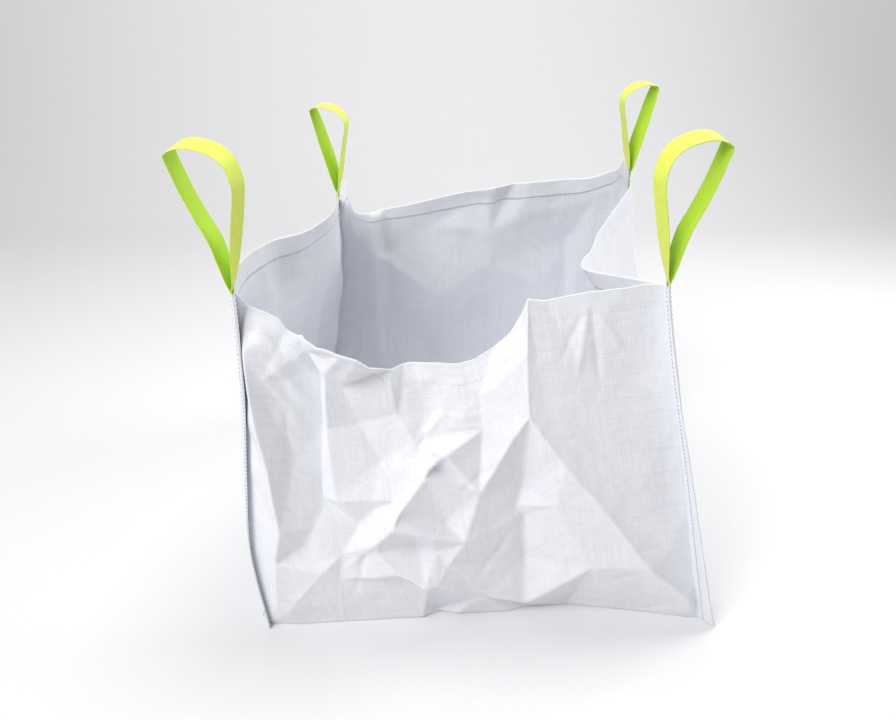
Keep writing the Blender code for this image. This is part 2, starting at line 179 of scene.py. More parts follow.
FRONT_FOLDS = {
    "k1": (-0.325, -0.424, 0.625), "k3": (-0.305, -0.412, 0.575), "k4": (-0.310, -0.418, 0.465),
    "k5": (-0.315, -0.446, 0.315), "p1": (-0.320, -0.444, 0.635), "p3": (-0.295, -0.446, 0.585),
    "p4": (-0.300, -0.440, 0.470),
    "v1": (0.075, -0.434, 0.615), "v2": (0.080, -0.456, 0.500), "v3": (0.075, -0.432, 0.325),
    "v4": (0.065, -0.436, 0.285), "v5": (0.080, -0.434, 0.260), "v6": (0.085, -0.426, 0.145),
    "d1": (0.055, -0.456, 0.460), "d2": (-0.010, -0.462, 0.335), "g2": (-0.075, -0.465, 0.265),
    "t1": (0.140, -0.456, 0.300), "t2": (0.230, -0.468, 0.300), "w1": (0.150, -0.464, 0.400),
    "w2": (0.330, -0.474, 0.160), "w3": (0.425, -0.458, 0.065),
    "q1": (-0.130, -0.446, 0.435), "q2": (-0.075, -0.462, 0.425), "q3": (-0.005, -0.438, 0.460),
    "q4": (-0.075, -0.440, 0.455), "e1": (-0.115, -0.472, 0.380), "e2": (-0.160, -0.482, 0.320),
    "e3": (-0.180, -0.492, 0.280), "g1": (-0.165, -0.482, 0.300), "g3": (-0.110, -0.486, 0.255),
    "g4": (-0.040, -0.474, 0.230), "c0": (-0.100, -0.456, 0.395),
    "a1": (-0.435, -0.446, 0.635), "a2": (-0.425, -0.464, 0.505), "a3": (-0.410, -0.474, 0.400),
    "a4": (-0.400, -0.482, 0.265), "a5": (-0.420, -0.472, 0.180), "a6": (-0.430, -0.464, 0.065),
    "s1": (-0.340, -0.462, 0.255), "s2": (-0.330, -0.470, 0.180), "s3": (-0.365, -0.462, 0.210),
    "b1": (-0.290, -0.458, 0.320), "b2": (-0.220, -0.462, 0.320), "b3": (-0.170, -0.470, 0.325),
    "n1": (-0.250, -0.456, 0.255), "n2": (-0.220, -0.458, 0.290),
    "j1": (-0.210, -0.476, 0.230), "j2": (-0.215, -0.474, 0.205), "j3": (-0.170, -0.480, 0.155),
    "j4": (-0.120, -0.482, 0.125), "j5": (-0.095, -0.476, 0.125),
    "u1": (-0.330, -0.476, 0.155), "u2": (-0.405, -0.466, 0.050), "u3": (-0.285, -0.468, 0.195),
    "o1": (-0.075, -0.466, 0.160), "o2": (-0.095, -0.464, 0.195), "o3": (-0.135, -0.458, 0.205),
    "x1": (-0.150, -0.462, 0.125), "x2": (-0.120, -0.446, 0.060),
    "y1": (-0.095, -0.460, 0.100), "y2": (0.000, -0.444, 0.065), "y3": (0.090, -0.428, 0.030),
    "z1": (-0.295, -0.468, 0.130), "z2": (-0.295, -0.458, 0.060),
    "i1": (-0.240, -0.432, 0.475), "i2": (-0.200, -0.444, 0.395), "i3": (-0.165, -0.432, 0.495),
    "i4": (-0.115, -0.424, 0.490), "i5": (-0.010, -0.418, 0.520), "i6": (-0.265, -0.440, 0.560),
    "l1": (-0.375, -0.438, 0.520), "l2": (-0.410, -0.446, 0.575), "l3": (-0.370, -0.450, 0.390),
    "rr1": (0.170, -0.424, 0.600), "rr2": (0.180, -0.446, 0.475), "rr3": (0.275, -0.416, 0.555),
    "rr4": (0.305, -0.450, 0.345), "rr5": (0.375, -0.456, 0.190), "br1": (0.215, -0.464, 0.155),
}
FRONT_CREASES = (
    "h1 a1 a2 a3 a4 a5 a6", "a4 s1 k5", "a4 s3 s2", "s1 s3", "u2 u1 u3 j1", "s2 u1", "k5 b1 b2 b3 e2",
    "b1 i2 q1", "b2 n2 e2", "n1 n2 e3", "q1 q2 q3", "q4 q3", "q2 e1 e2 e3", "e2 g1 g2 g4 g3 e3", "d2 g2",
    "v2 d1 d2", "d2 v3", "m9 v1 v2 v3 v4 v5 v6 y3 g04", "v4 t1 t2", "v2 w1 t2 w2 w3", "g4 v4",
    "e3 j1 j2 j3 j4 j5", "g4 o1 j5", "o2 j5", "j5 y1 g03", "j5 y2 y3", "x1 x2 g02", "z1 z2 g01",
    "h5 k1 k3 k4 k5", "f0 p1 p3 p4 k5",
)
# Facets go on past the wall's edges by these distances.
PAST_SIDE = 0.06
PAST_EDGE = 0.04
CORNER_POSTS = 8
# How much deeper the folds are than their named points say, and the height of the line along a crease.
FOLD_GAIN = 0.9
CREASE_RIDGE = 0.0011
CREASE_WIDTH = 0.0032
CRINKLES = 46
# Soft pulls in the front wall: both ends (x, z), width and depth.
FRONT_PINCHES = (
    ((-0.435, 0.700), (-0.322, 0.500), 0.013, -0.006),
    ((-0.430, 0.660), (-0.330, 0.430), 0.011, -0.004),
    ((-0.400, 0.680), (-0.318, 0.545), 0.010, 0.004),
    ((-0.430, 0.600), (-0.350, 0.380), 0.009, 0.003),
    ((0.185, 0.705), (0.170, 0.560), 0.007, -0.003),
    ((0.190, 0.700), (0.215, 0.540), 0.008, 0.0025),
    ((0.182, 0.700), (0.135, 0.590), 0.007, 0.002),
    ((0.195, 0.695), (0.265, 0.600), 0.008, -0.002),
    ((-0.170, 0.400), (-0.060, 0.510), 0.007, -0.0025),
    ((-0.150, 0.360), (-0.090, 0.520), 0.006, 0.002),
    ((-0.290, 0.150), (-0.180, 0.270), 0.007, -0.003),
    ((-0.270, 0.080), (-0.230, 0.230), 0.008, 0.003),
    ((-0.060, 0.330), (0.050, 0.420), 0.008, 0.002),
    ((-0.020, 0.100), (0.060, 0.240), 0.010, 0.003),
    ((0.120, 0.060), (0.200, 0.240), 0.012, -0.002),
    ((0.240, 0.090), (0.340, 0.160), 0.010, 0.002),
)

# The back wall's folds: points (x, z, depth), and peaks (x, rise, spread) above its hem.
BACK_FOLDS = {
    "a0": (-0.330, 0.740, 0.000), "a1": (-0.275, 0.660, -0.020), "a2": (-0.270, 0.560, -0.032),
    "a3": (-0.272, 0.380, -0.028), "a4": (-0.280, 0.160, -0.012), "b1": (-0.240, 0.660, 0.010),
    "b2": (-0.236, 0.540, 0.016), "b3": (-0.240, 0.360, 0.012), "c1": (0.046, 0.700, -0.012),
    "c2": (0.048, 0.600, -0.018), "c3": (0.044, 0.500, -0.016), "c4": (0.052, 0.420, -0.006),
    "d1": (0.085, 0.690, 0.008), "d2": (0.000, 0.690, 0.008), "e1": (-0.110, 0.620, 0.006),
    "e2": (0.130, 0.650, -0.010), "e3": (0.260, 0.560, 0.010), "e4": (0.330, 0.690, -0.010),
    "e5": (0.200, 0.420, -0.012), "e6": (-0.100, 0.400, -0.012), "e7": (0.060, 0.240, 0.010),
    "e8": (-0.120, 0.180, 0.006), "e9": (0.280, 0.240, 0.000),
}
BACK_CREASES = (
    "a0 a1 a2 a3 a4", "b1 b2 b3", "c1 c2 c3 c4", "c4 e7", "c4 e6", "e2 e3", "e3 e5", "a2 e6",
)
BACK_PEAKS = ((-0.338, 0.075, 0.011), (0.385, 0.026, 0.050), (0.396, 0.030, 0.008))
PEAKS_FROM = 0.78

# The side walls' folds: points (y, z, depth).
SIDE_FOLDS = {
    "left": {
        "a1": (-0.280, 0.700, -0.004), "a2": (-0.300, 0.450, -0.010), "a3": (-0.330, 0.200, -0.004),
        "b1": (-0.120, 0.640, 0.006), "b2": (-0.090, 0.420, 0.008), "b3": (-0.130, 0.180, 0.000),
        "c1": (0.060, 0.600, -0.006), "c2": (0.090, 0.350, -0.010), "c3": (0.140, 0.150, -0.006),
        "d1": (0.250, 0.600, 0.002), "d2": (0.270, 0.340, 0.000), "d3": (0.290, 0.130, 0.000),
        "e0": (0.362, 0.700, 0.002), "e1": (0.368, 0.600, 0.022), "e2": (0.372, 0.450, 0.044),
        "e3": (0.376, 0.250, 0.046), "e4": (0.385, 0.100, 0.012),
    },
    "right": {
        "a1": (-0.330, 0.420, -0.006), "a2": (-0.300, 0.180, 0.004), "b1": (-0.180, 0.560, 0.010),
        "b2": (-0.160, 0.330, 0.012), "b3": (-0.220, 0.120, 0.004), "c1": (0.020, 0.600, -0.004),
        "c2": (0.040, 0.380, -0.008), "c3": (0.000, 0.150, -0.002), "d1": (0.180, 0.640, 0.006),
        "d2": (0.220, 0.380, 0.008), "d3": (0.260, 0.160, 0.000),
    },
}
SIDE_CREASES = {
    "left": ("a1 a2 a3", "b1 b2 b3", "c1 c2 c3", "d1 d2 d3", "e0 e1 e2 e3 e4", "a2 b3", "b2 c3"),
    "right": ("a1 a2", "b1 b2 b3", "c1 c2 c3", "d1 d2 d3", "b2 a2", "c2 b3"),
}

STITCH_SIDES = 6
# The rings of one stitch: place along it, share of its radius, lift above the cloth in radii.
STITCH_RINGS = ((-0.5, 0.25, -0.6), (-0.30, 0.95, 0.35), (0.0, 1.0, 0.6), (0.30, 0.95, 0.35),
                (0.5, 0.25, -0.6))
HEM_SEWING = {"pitch": 0.0075, "share": 0.72, "radius": 0.0006}
SEAM_SEWING = {"pitch": 0.0085, "share": 0.70, "radius": 0.0008}

LOOP_WIDTH_AXIS = (0.31, 0.95, 0)
# A strap's path from its crotch, round the loop and back: outwards, upwards, how far its back edge is
# tipped up and how far it is turned in, both in degrees.
LOOP_PATHS = {
    "front": ((0.003, 0.014, 0, 2), (0.008, 0.048, 0, 4), (0.020, 0.090, 0, 4), (0.041, 0.128, 0, 2),
              (0.063, 0.172, 2, 0), (0.080, 0.215, 5, -2), (0.0848, 0.229, 8, -2), (0.0845, 0.2345, 11, -2),
              (0.076, 0.2425, 15, 0), (0.060, 0.2485, 16, 0), (0.040, 0.2505, 17, 0), (0.014, 0.2465, 16, 0),
              (-0.006, 0.2395, 14, 0), (-0.024, 0.2255, 10, 0), (-0.034, 0.206, 7, 0), (-0.038, 0.184, 4, 0),
              (-0.034, 0.157, 2, 0), (-0.029, 0.131, 0, 0), (-0.019, 0.083, 0, -3), (-0.011, 0.040, 0, -6),
              (-0.005, 0.014, 0, -6)),
    "back": ((0.002, 0.014, 0, 8), (0.006, 0.045, 0, 16), (0.015, 0.085, 0, 22), (0.029, 0.130, 0, 20),
             (0.044, 0.180, 2, 14), (0.0535, 0.208, 4, 6), (0.0545, 0.216, 5, 2), (0.048, 0.223, 7, 0),
             (0.025, 0.227, 9, -4), (-0.001, 0.222, 9, -6), (-0.022, 0.211, 7, -8), (-0.035, 0.195, 4, -10),
             (-0.037, 0.175, 0, -10), (-0.029, 0.140, 0, -10), (-0.021, 0.100, 0, -8), (-0.013, 0.060, 0, -6),
             (-0.005, 0.022, 0, -4)),
}
LAYER_OFFSET = 0.0008
RIBS = 24
RIB_HEIGHT = 0.00012
# Sets of noise lie this far apart.
SEED_STEP = 7.31


# ---------------------------------------------------------------- curves and surfaces

def levels(count):
    """From 0 to 1 in count equal steps."""
    return np.linspace(0, 1, count + 1)


def lerp(a, b, t):
    return a + (b - a) * t


def unit(vectors):
    return vectors / np.linalg.norm(vectors, axis=-1, keepdims=True)


def curve(points, where):
    """A Catmull-Rom curve along the first axis of points, at each of where (0 to 1)."""
    points = np.asarray(points, float)
    last = len(points) - 1
    position = np.clip(where, 0, 1) * last
    i = np.minimum(position.astype(int), last - 1)
    t = (position - i).reshape((-1,) + (1,) * (points.ndim - 1))
    a, b, c, d = (points[np.clip(i + k, 0, last)] for k in (-1, 0, 1, 2))
    return b + 0.5 * t * (c - a + t * (2 * a - 5 * b + 4 * c - d + t * (3 * (b - c) + d - a)))


def polyline(points, where):
    """A line through the points, at each of where (0 to 1) of its length."""
    points = np.asarray(points, float)
    lengths = np.concatenate([[0], np.cumsum(np.linalg.norm(np.diff(points, axis=0), axis=1))])
    spots = np.asarray(where) * lengths[-1]
    return np.stack([np.interp(spots, lengths, points[:, k]) for k in range(3)], axis=1)


def net_surface(net, across, up):
    """A net of columns as a grid of points: rows from the floor up, each from the first column on."""
    columns = curve(np.swapaxes(np.array(net, float), 0, 1), up)
    return np.swapaxes(curve(np.swapaxes(columns, 0, 1), across), 0, 1)


def smooth(values, passes):
    """The values with their inner points averaged with their neighbours."""
    values = values.copy()
    for _ in range(passes):
        values[1:-1] = values[:-2] / 4 + values[1:-1] / 2 + values[2:] / 4
        values[:, 1:-1] = values[:, :-2] / 4 + values[:, 1:-1] / 2 + values[:, 2:] / 4
    return values


def folds(points, creases, first, second):
    """Depth at each (first, second), on flat facets between named points (first, second, depth)."""
    names = list(points)
    places = [Vector(points[name][:2]) for name in names]
    edges = []
    for crease in creases:
        chain = [names.index(name) for name in crease.split()]
        edges += list(zip(chain, chain[1:]))
    made, _, triangles, sources, _, _ = delaunay_2d_cdt(places, edges, [], 0, 1e-6)
    depths = []
    for place, source in zip(made, sources):
        if source:
            depths.append(points[names[source[0]]][2])
            continue
        found = []
        for a, b in edges:
            along = places[b] - places[a]
            t = (place - places[a]).dot(along) / along.length_squared
            if 0 < t < 1 and (places[a] + along * t - place).length < 1e-5:
                found.append(points[names[a]][2] * (1 - t) + points[names[b]][2] * t)
        depths.append(sum(found) / len(found))
    result = np.full(first.shape, np.nan)
    for triangle in triangles:
        (ax, az), (bx, bz), (cx, cz) = (made[i] for i in triangle)
        span = (bz - cz) * (ax - cx) + (cx - bx) * (az - cz)
        if abs(span) < 1e-12:
            continue
        wa = ((bz - cz) * (first - cx) + (cx - bx) * (second - cz)) / span
        wb = ((cz - az) * (first - cx) + (ax - cx) * (second - cz)) / span
        inside = (wa > -1e-6) & (wb > -1e-6) & (wa + wb < 1 + 1e-6)
        depth = wa * depths[triangle[0]] + wb * depths[triangle[1]] + (1 - wa - wb) * depths[triangle[2]]
        result[inside] = depth[inside]
    return result


def noise_at(points, size, seed, stretch=(1, 1, 1)):
    """Smooth noise from -1 to 1 at each point, with features about size metres across."""
    flat = points.reshape(-1, 3) / (np.array(stretch) * size) + seed * SEED_STEP
    return np.array([noise.noise(Vector(point)) for point in flat]).reshape(points.shape[:-1])


def wrinkled(rows, *layers):
    """The sum of layers of noise, each (height, size, seed), at each grid point."""
    return sum(height * noise_at(rows, size, seed) for height, size, seed in layers)


def pinch(first, second, start, end, width):
    """1 along a straight crease from start to end, fading to 0 at width to either side and at its ends."""
    ax, az = start
    dx, dz = end[0] - ax, end[1] - az
    length = math.hypot(dx, dz)
    along = ((first - ax) * dx + (second - az) * dz) / length
    aside = ((first - ax) * dz - (second - az) * dx) / length
    ends = np.clip(along / (0.3 * length), 0, 1) * np.clip((length - along) / (0.3 * length), 0, 1)
    return np.exp(-((aside / width) ** 2)) * ends


def border_fade(shape):
    """1 inside a grid, and 0 along both of its sides and its floor edge."""
    rows, columns = shape
    side = np.minimum(np.arange(columns), np.arange(columns)[::-1]) / 6
    foot = np.arange(rows) / 5
    return np.clip(foot, 0, 1)[:, None] * np.clip(side, 0, 1)[None]


def along_hem(rows):
    """(distance below the hem, distance along the hem) of each grid point."""
    below = np.zeros(rows.shape[:2])
    below[:-1] = np.cumsum(np.linalg.norm(np.diff(rows, axis=0), axis=2)[::-1], axis=0)[::-1]
    along = np.concatenate([[0], np.cumsum(np.linalg.norm(np.diff(rows[-1], axis=0), axis=1))])
    return below, np.broadcast_to(along, below.shape)


def puckers(rows, seed):
    """How far the cloth is drawn in by the hem's stitches, in metres."""
    below, along = along_hem(rows)
    near = np.exp(-(((below - HEM_STITCH) / PUCKER_SPREAD) ** 2))
    groove = np.exp(-(((below - HEM_STITCH) / GROOVE_SPREAD) ** 2))
    wave = noise_at(np.stack([along, below * 0.35, along * 0], axis=2), 0.012, seed)
    return GROOVE_DEPTH * groove + PUCKER_DEPTH * near * wave


def grid_normals(rows):
    """Unit normals of a grid of points."""
    along = np.gradient(rows, axis=0)
    across = np.gradient(rows, axis=1)
    return unit(np.cross(across, along))


# ---------------------------------------------------------------- the bag's walls

def corner_posts(name, line, outwards):
    """Fold points down a corner line, and others beyond it, past the wall's edge."""
    posts = {}
    for i, (x, y, z) in enumerate(curve(line, levels(CORNER_POSTS))):
        posts[f"{name}{i}"] = (x, z, y)
        posts[f"{name}{i}_beyond"] = (x + outwards * PAST_SIDE, z, y)
    return posts


def fine_creases(x, z, places):
    """The front wall's raised crease lines, its pulls and its small crinkles, in metres."""
    made = 0
    for crease in FRONT_CREASES:
        names = crease.split()
        for a, b in zip(names, names[1:]):
            made -= CREASE_RIDGE * pinch(x, z, places[a], places[b], CREASE_WIDTH)
    for start, end, width, depth in FRONT_PINCHES:
        made += depth * pinch(x, z, start, end, width)
    dice = random.Random(11)
    for _ in range(CRINKLES):
        px, pz = dice.uniform(-0.20, -0.02), dice.uniform(0.42, 0.55)
        turn, long = dice.uniform(-1.9, 1.2), dice.uniform(0.025, 0.075)
        tip = (px + long * math.cos(turn), pz + long * math.sin(turn))
        made += dice.uniform(-0.0013, 0.0008) * pinch(x, z, (px, pz), tip, 0.0045)
    return made


def front_wall():
    """The front wall as a grid: a Coons patch in the wall's own plane, with its depth from the folds."""
    across, up = levels(290), levels(218)
    floor_line = [CORNER_FRONT_LEFT[0], *FRONT_FLOOR.values(), CORNER_FRONT_RIGHT[0]]
    hem_line = [CORNER_FRONT_LEFT[-1], *FRONT_HEM.values(), CORNER_FRONT_RIGHT[-1]]
    bottom, top = polyline(floor_line, across), polyline(hem_line, across)
    left, right = curve(CORNER_FRONT_LEFT, up), curve(CORNER_FRONT_RIGHT, up)
    s, t = across[None, :, None], up[:, None, None]
    rows = ((1 - t) * bottom[None] + t * top[None] + (1 - s) * left[:, None] + s * right[:, None]
            - (1 - s) * (1 - t) * bottom[0] - s * (1 - t) * bottom[-1]
            - (1 - s) * t * top[0] - s * t * top[-1])
    named = {**FRONT_HEM, **FRONT_FLOOR, **FRONT_FOLDS}
    points = {name: (x, z, y) for name, (x, y, z) in named.items()}
    points.update(corner_posts("left", CORNER_FRONT_LEFT, -1))
    points.update(corner_posts("right", CORNER_FRONT_RIGHT, 1))
    for edge, rise in ((FRONT_HEM, PAST_EDGE), (FRONT_FLOOR, -PAST_EDGE)):
        for name, (x, y, z) in edge.items():
            points[f"{name}_beyond"] = (x, z + rise, y)
    chain = " ".join(["left8", *FRONT_HEM, "right8"])
    sides = [" ".join(f"{side}{i}" for i in range(CORNER_POSTS + 1)) for side in ("left", "right")]
    depth = folds(points, (*FRONT_CREASES, chain, *sides), rows[..., 0], rows[..., 2])
    depth = np.where(np.isnan(depth), rows[..., 1], depth)
    inner = border_fade(rows.shape[:2])
    rows[..., 1] = smooth(depth + FOLD_GAIN * (depth - smooth(depth, 300)) * inner, 1)
    places = {name: place[:2] for name, place in points.items()}
    wrinkles = (wrinkled(rows, (0.0016, 0.085, 1), (0.0009, 0.034, 2), (0.0006, 0.014, 3))
                + fine_creases(rows[..., 0], rows[..., 2], places))
    rows[..., 1] += (wrinkles + puckers(rows, 4)) * inner
    return rows


def fold_depth(points, creases, first, second):
    """Depth of a wall's folds, fading to nothing at its edges."""
    points = dict(points)
    for spot in (-0.6, -0.2, 0.2, 0.6):
        points[f"low{spot}"] = (spot, -0.1, 0)
        points[f"high{spot}"] = (spot, 0.9, 0)
    return smooth(np.nan_to_num(folds(points, creases, first, second)), 2)


def back_wall():
    """The back wall as a grid, with its peaks of cloth drawn up towards the lifting loops."""
    rows = net_surface(BACK, levels(150), levels(110))
    depth = fold_depth(BACK_FOLDS, BACK_CREASES, rows[..., 0], rows[..., 2])
    wrinkles = wrinkled(rows, (0.0045, 0.11, 5), (0.0014, 0.04, 6))
    rows[..., 1] += (depth + wrinkles - puckers(rows, 7)) * border_fade(rows.shape[:2])
    top = np.clip((levels(110) - PEAKS_FROM) / (1 - PEAKS_FROM), 0, 1)[:, None] ** 2
    for x, rise, spread in BACK_PEAKS:
        rows[..., 2] += rise * np.exp(-(((rows[..., 0] - x) / spread) ** 2)) * top
    return rows


def side_sign(side):
    """1 on the right and -1 on the left."""
    return 1 if side == "right" else -1


def flange_direction(side, end, up):
    """Unit vectors along a corner's flange, away from the bag, at each height from 0 to 1."""
    low, high = (np.array(v, float) for v in FLANGES[side, end])
    return unit(lerp(low, high, np.asarray(up, float)[..., None] ** FLANGE_TURN))


def flange_normal(side, end, up):
    """Across the flange, from the body panel's layer to the side panel's."""
    along = flange_direction(side, end, up)
    sign = side_sign(side) * (1 if end == "front" else -1)
    return np.stack([-along[..., 1], along[..., 0], along[..., 2]], axis=-1) * sign


def layer_gap(up):
    """Between the middles of a seam's two layers, which part where the webbing lies between them."""
    closed = CAD_CLOTH + LAYER_CLEARANCE
    parted = CAD_CLOTH + 2 * LAYER_CLEARANCE + WEBBING_STACK
    return lerp(closed, parted, np.clip((np.asarray(up, float) - PARTING_FROM) / PARTING_OVER, 0, 1))


def side_wall(side):
    """A side panel's wall, one layer outside the body panel at its corners and its foot."""
    across, up = levels(150), levels(150)
    rows = net_surface(SIDES[side], across, up)
    seed = SIDE_SEEDS[side]
    depth = fold_depth(SIDE_FOLDS[side], SIDE_CREASES[side], rows[..., 1], rows[..., 2])
    wrinkles = wrinkled(rows, (0.0040, 0.10, seed), (0.0013, 0.035, seed + 1))
    drawn = puckers(rows, seed + 2) * side_sign(side)
    rows[..., 0] += (depth + wrinkles - drawn) * border_fade(rows.shape[:2])
    for end, distance in (("front", across), ("back", 1 - across)):
        near = np.clip(1 - distance * 8, 0, 1)
        shift = flange_normal(side, end, up) * layer_gap(up)[:, None]
        rows += shift[:, None, :] * near[None, :, None]
    rows[..., 2] += (CAD_CLOTH + LAYER_CLEARANCE) * (1 - up)[:, None]
    return rows


def flange_columns(edge, side, end, up, layer):
    """A seam margin's columns, outwards from a wall's edge. Its layers close past the webbing."""
    shut = (layer_gap(up) / 2 - CLOTH_THICK * 0.6)[:, None] * MARGIN_CLOSING
    kept = lerp(TRIMMED.get((side, end), 1), 1, np.clip((up - TRIMMED_TO) / TRIM_FADE, 0, 1))
    widths = kept[:, None] * MARGIN_WIDTHS
    made = (edge[:, None] + flange_direction(side, end, up)[:, None] * widths[..., None]
            + flange_normal(side, end, up)[:, None] * shut[..., None] * layer)
    made[..., 2] += TAIL_RISE * (np.clip((up - 0.9) / 0.1, 0, 1) ** 2)[:, None] * MARGIN_RISE
    return made


def with_flanges(rows, first, last, up, layer):
    """The rows with a seam margin at both ends. layer is 1 on the body panel and -1 on a side panel."""
    before = flange_columns(rows[:, 0], *first, up, layer)
    after = flange_columns(rows[:, -1], *last, up, layer)
    return np.concatenate([before[:, ::-1], rows, after], axis=1)


def hem_strip(rows, inwards, roll):
    """Rows of the cloth turned over inwards at the hem and down behind the wall, from the top down."""
    below, _ = along_hem(rows)
    made = []
    for depth in HEM_LEVELS:
        drop = depth * (1 + ROLL_SLACK * roll)
        row = np.array([[np.interp(drop[j], below[::-1, j], rows[::-1, j, k]) for k in range(3)]
                        for j in range(rows.shape[1])])
        layer = HEM_LAYER * {0: 0.6, HEM_DEPTH: 0.35}.get(depth, 1)
        curl = roll * ROLL_DEPTH * (1 - np.exp(-drop / 0.009)) * (1 - 0.25 * depth / HEM_DEPTH)
        row += inwards * (layer + curl)[:, None]
        row[:, 2] += (HEM_TOP if depth == 0 else 0) + roll * ROLL_RISE * math.exp(-depth / 0.006)
        made.append(row)
    return np.array(made)


# ---------------------------------------------------------------- objects

def placed(name, mesh, material):
    """A new object of the mesh, smooth and in the scene."""
    mesh.shade_smooth()
    mesh.update()
    obj = bpy.data.objects.new(name, mesh)
    bpy.context.scene.collection.objects.link(obj)
    mesh.materials.append(material)
    return obj


def as_grid(name, rows, material):
    """A grid of points as a cloth object, with the distances along the cloth as its UV map."""
    height, width = rows.shape[:2]
    index = np.arange(height * width).reshape(height, width)
    quads = np.stack([index[:-1, :-1], index[:-1, 1:], index[1:, 1:], index[1:, :-1]], axis=-1)
    mesh = bpy.data.meshes.new(name)
    mesh.from_pydata(rows.reshape(-1, 3).tolist(), [], quads.reshape(-1, 4).tolist())
    steps = np.linalg.norm(np.diff(rows, axis=0), axis=2)
    v = np.concatenate([np.zeros((1, width)), np.cumsum(steps, axis=0)])
    middle = np.linalg.norm(np.diff(rows[height // 2], axis=0), axis=1)
    u = np.broadcast_to(np.concatenate([[0], np.cumsum(middle)]), (height, width))
    flat = np.stack([u, v], axis=-1).reshape(-1, 2)
    layer = mesh.uv_layers.new(name="UVMap")
    corners = np.empty(len(mesh.loops), np.int32)
    mesh.loops.foreach_get("vertex_index", corners)
    layer.data.foreach_set("uv", flat[corners].ravel())
    return placed(name, mesh, material)


def thicken(obj, thickness):
    """The cloth's own thickness, to both sides of its grid."""
    solid = obj.modifiers.new("Thickness", "SOLIDIFY")
    solid.thickness = thickness
    solid.offset = 0
    return obj


def apply_modifiers(obj):
    """Keep the object's modified mesh as its own."""
    graph = bpy.context.evaluated_depsgraph_get()
    graph.update()
    mesh = bpy.data.meshes.new_from_object(obj.evaluated_get(graph))
    obj.modifiers.clear()
    obj.data = mesh


def ride_bag(obj, node_name):
    """Fix a piece to the bag, in place of the named node."""
    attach(obj, "bag")
    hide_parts(node_name)
    return obj


# ---------------------------------------------------------------- materials

def new_material(name, colour, roughness):
    """(material, nodes, links, shader) of a plain colour."""
    made = bpy.data.materials.new(name)
    made.use_nodes = True
    shader = made.node_tree.nodes["Principled BSDF"]
    shader.inputs["Base Color"].default_value = (*colour, 1)
    shader.inputs["Roughness"].default_value = roughness
    return made, made.node_tree.nodes, made.node_tree.links, shader


def node(nodes, kind, **values):
    """A new node with its properties or its inputs set."""
    made = nodes.new(kind)
    for name, value in values.items():
        if name in made.bl_rna.properties:
            setattr(made, name, value)
        else:
            made.inputs[name].default_value = value
    return made


def scaled(nodes, links, source, scale):
    """The source's coordinates, scaled."""
    mapping = node(nodes, "ShaderNodeMapping")
    mapping.inputs["Scale"].default_value = scale
    links.new(source, mapping.inputs["Vector"])
    return mapping.outputs["Vector"]


def mixed(nodes, links, factor, low, high):
    """A ramp from the low colour to the high one."""
    ramp = node(nodes, "ShaderNodeValToRGB")
    ramp.color_ramp.elements[0].color = (*low, 1)
    ramp.color_ramp.elements[1].color = (*high, 1)
    links.new(factor, ramp.inputs["Fac"])
    return ramp


def woven_cloth(name, colour, low):
    """Woven tapes with a thin gloss coat: crossing tapes, long streaks along both yarns, and crinkles."""
    made, nodes, links, shader = new_material(name, colour, 0.5)
    uv = node(nodes, "ShaderNodeUVMap", uv_map="UVMap").outputs["UV"]
    warp = node(nodes, "ShaderNodeTexWave", wave_type="BANDS", bands_direction="X", wave_profile="SIN")
    weft = node(nodes, "ShaderNodeTexWave", wave_type="BANDS", bands_direction="Y", wave_profile="SIN")
    for wave in (warp, weft):
        wave.inputs["Scale"].default_value = 62
        wave.inputs["Distortion"].default_value = 0.6
        wave.inputs["Detail"].default_value = 1.0
        links.new(uv, wave.inputs["Vector"])
    weave = node(nodes, "ShaderNodeMath", operation="MULTIPLY")
    links.new(warp.outputs["Fac"], weave.inputs[0])
    links.new(weft.outputs["Fac"], weave.inputs[1])
    streaks = []
    for scale in ((260, 4, 1), (5, 240, 1)):
        streak = node(nodes, "ShaderNodeTexNoise", Scale=1.0, Detail=4.0, Roughness=0.65)
        links.new(scaled(nodes, links, uv, scale), streak.inputs["Vector"])
        streaks.append(streak.outputs["Fac"])
    both = node(nodes, "ShaderNodeMath", operation="ADD")
    links.new(streaks[0], both.inputs[0])
    links.new(streaks[1], both.inputs[1])
    half = node(nodes, "ShaderNodeMath", operation="MULTIPLY")
    half.inputs[1].default_value = 0.5
    links.new(both.outputs[0], half.inputs[0])
    tint = mixed(nodes, links, half.outputs[0], low, colour)
    tint.color_ramp.elements[0].position = 0.34
    tint.color_ramp.elements[1].position = 0.52
    links.new(tint.outputs["Color"], shader.inputs["Base Color"])
    gloss = node(nodes, "ShaderNodeMapRange")
    gloss.inputs["To Min"].default_value = 0.40
    gloss.inputs["To Max"].default_value = 0.60
    links.new(half.outputs[0], gloss.inputs["Value"])
    links.new(gloss.outputs["Result"], shader.inputs["Roughness"])
    crinkle = node(nodes, "ShaderNodeTexNoise", Scale=46.0, Detail=5.0, Roughness=0.62)
    links.new(uv, crinkle.inputs["Vector"])
    height = None
    relief = ((crinkle.outputs["Fac"], 0.35, 0.0030), (half.outputs[0], 0.35, 0.0010),
              (weave.outputs[0], 0.30, 0.0004))
    for source, strength, distance in relief:
        bump = node(nodes, "ShaderNodeBump", Strength=strength, Distance=distance)
        links.new(source, bump.inputs["Height"])
        if height:
            links.new(height, bump.inputs["Normal"])
        height = bump.outputs["Normal"]
    links.new(height, shader.inputs["Normal"])
    shader.inputs["Sheen Weight"].default_value = 0.10
    shader.inputs["Specular IOR Level"].default_value = 0.35
    return made


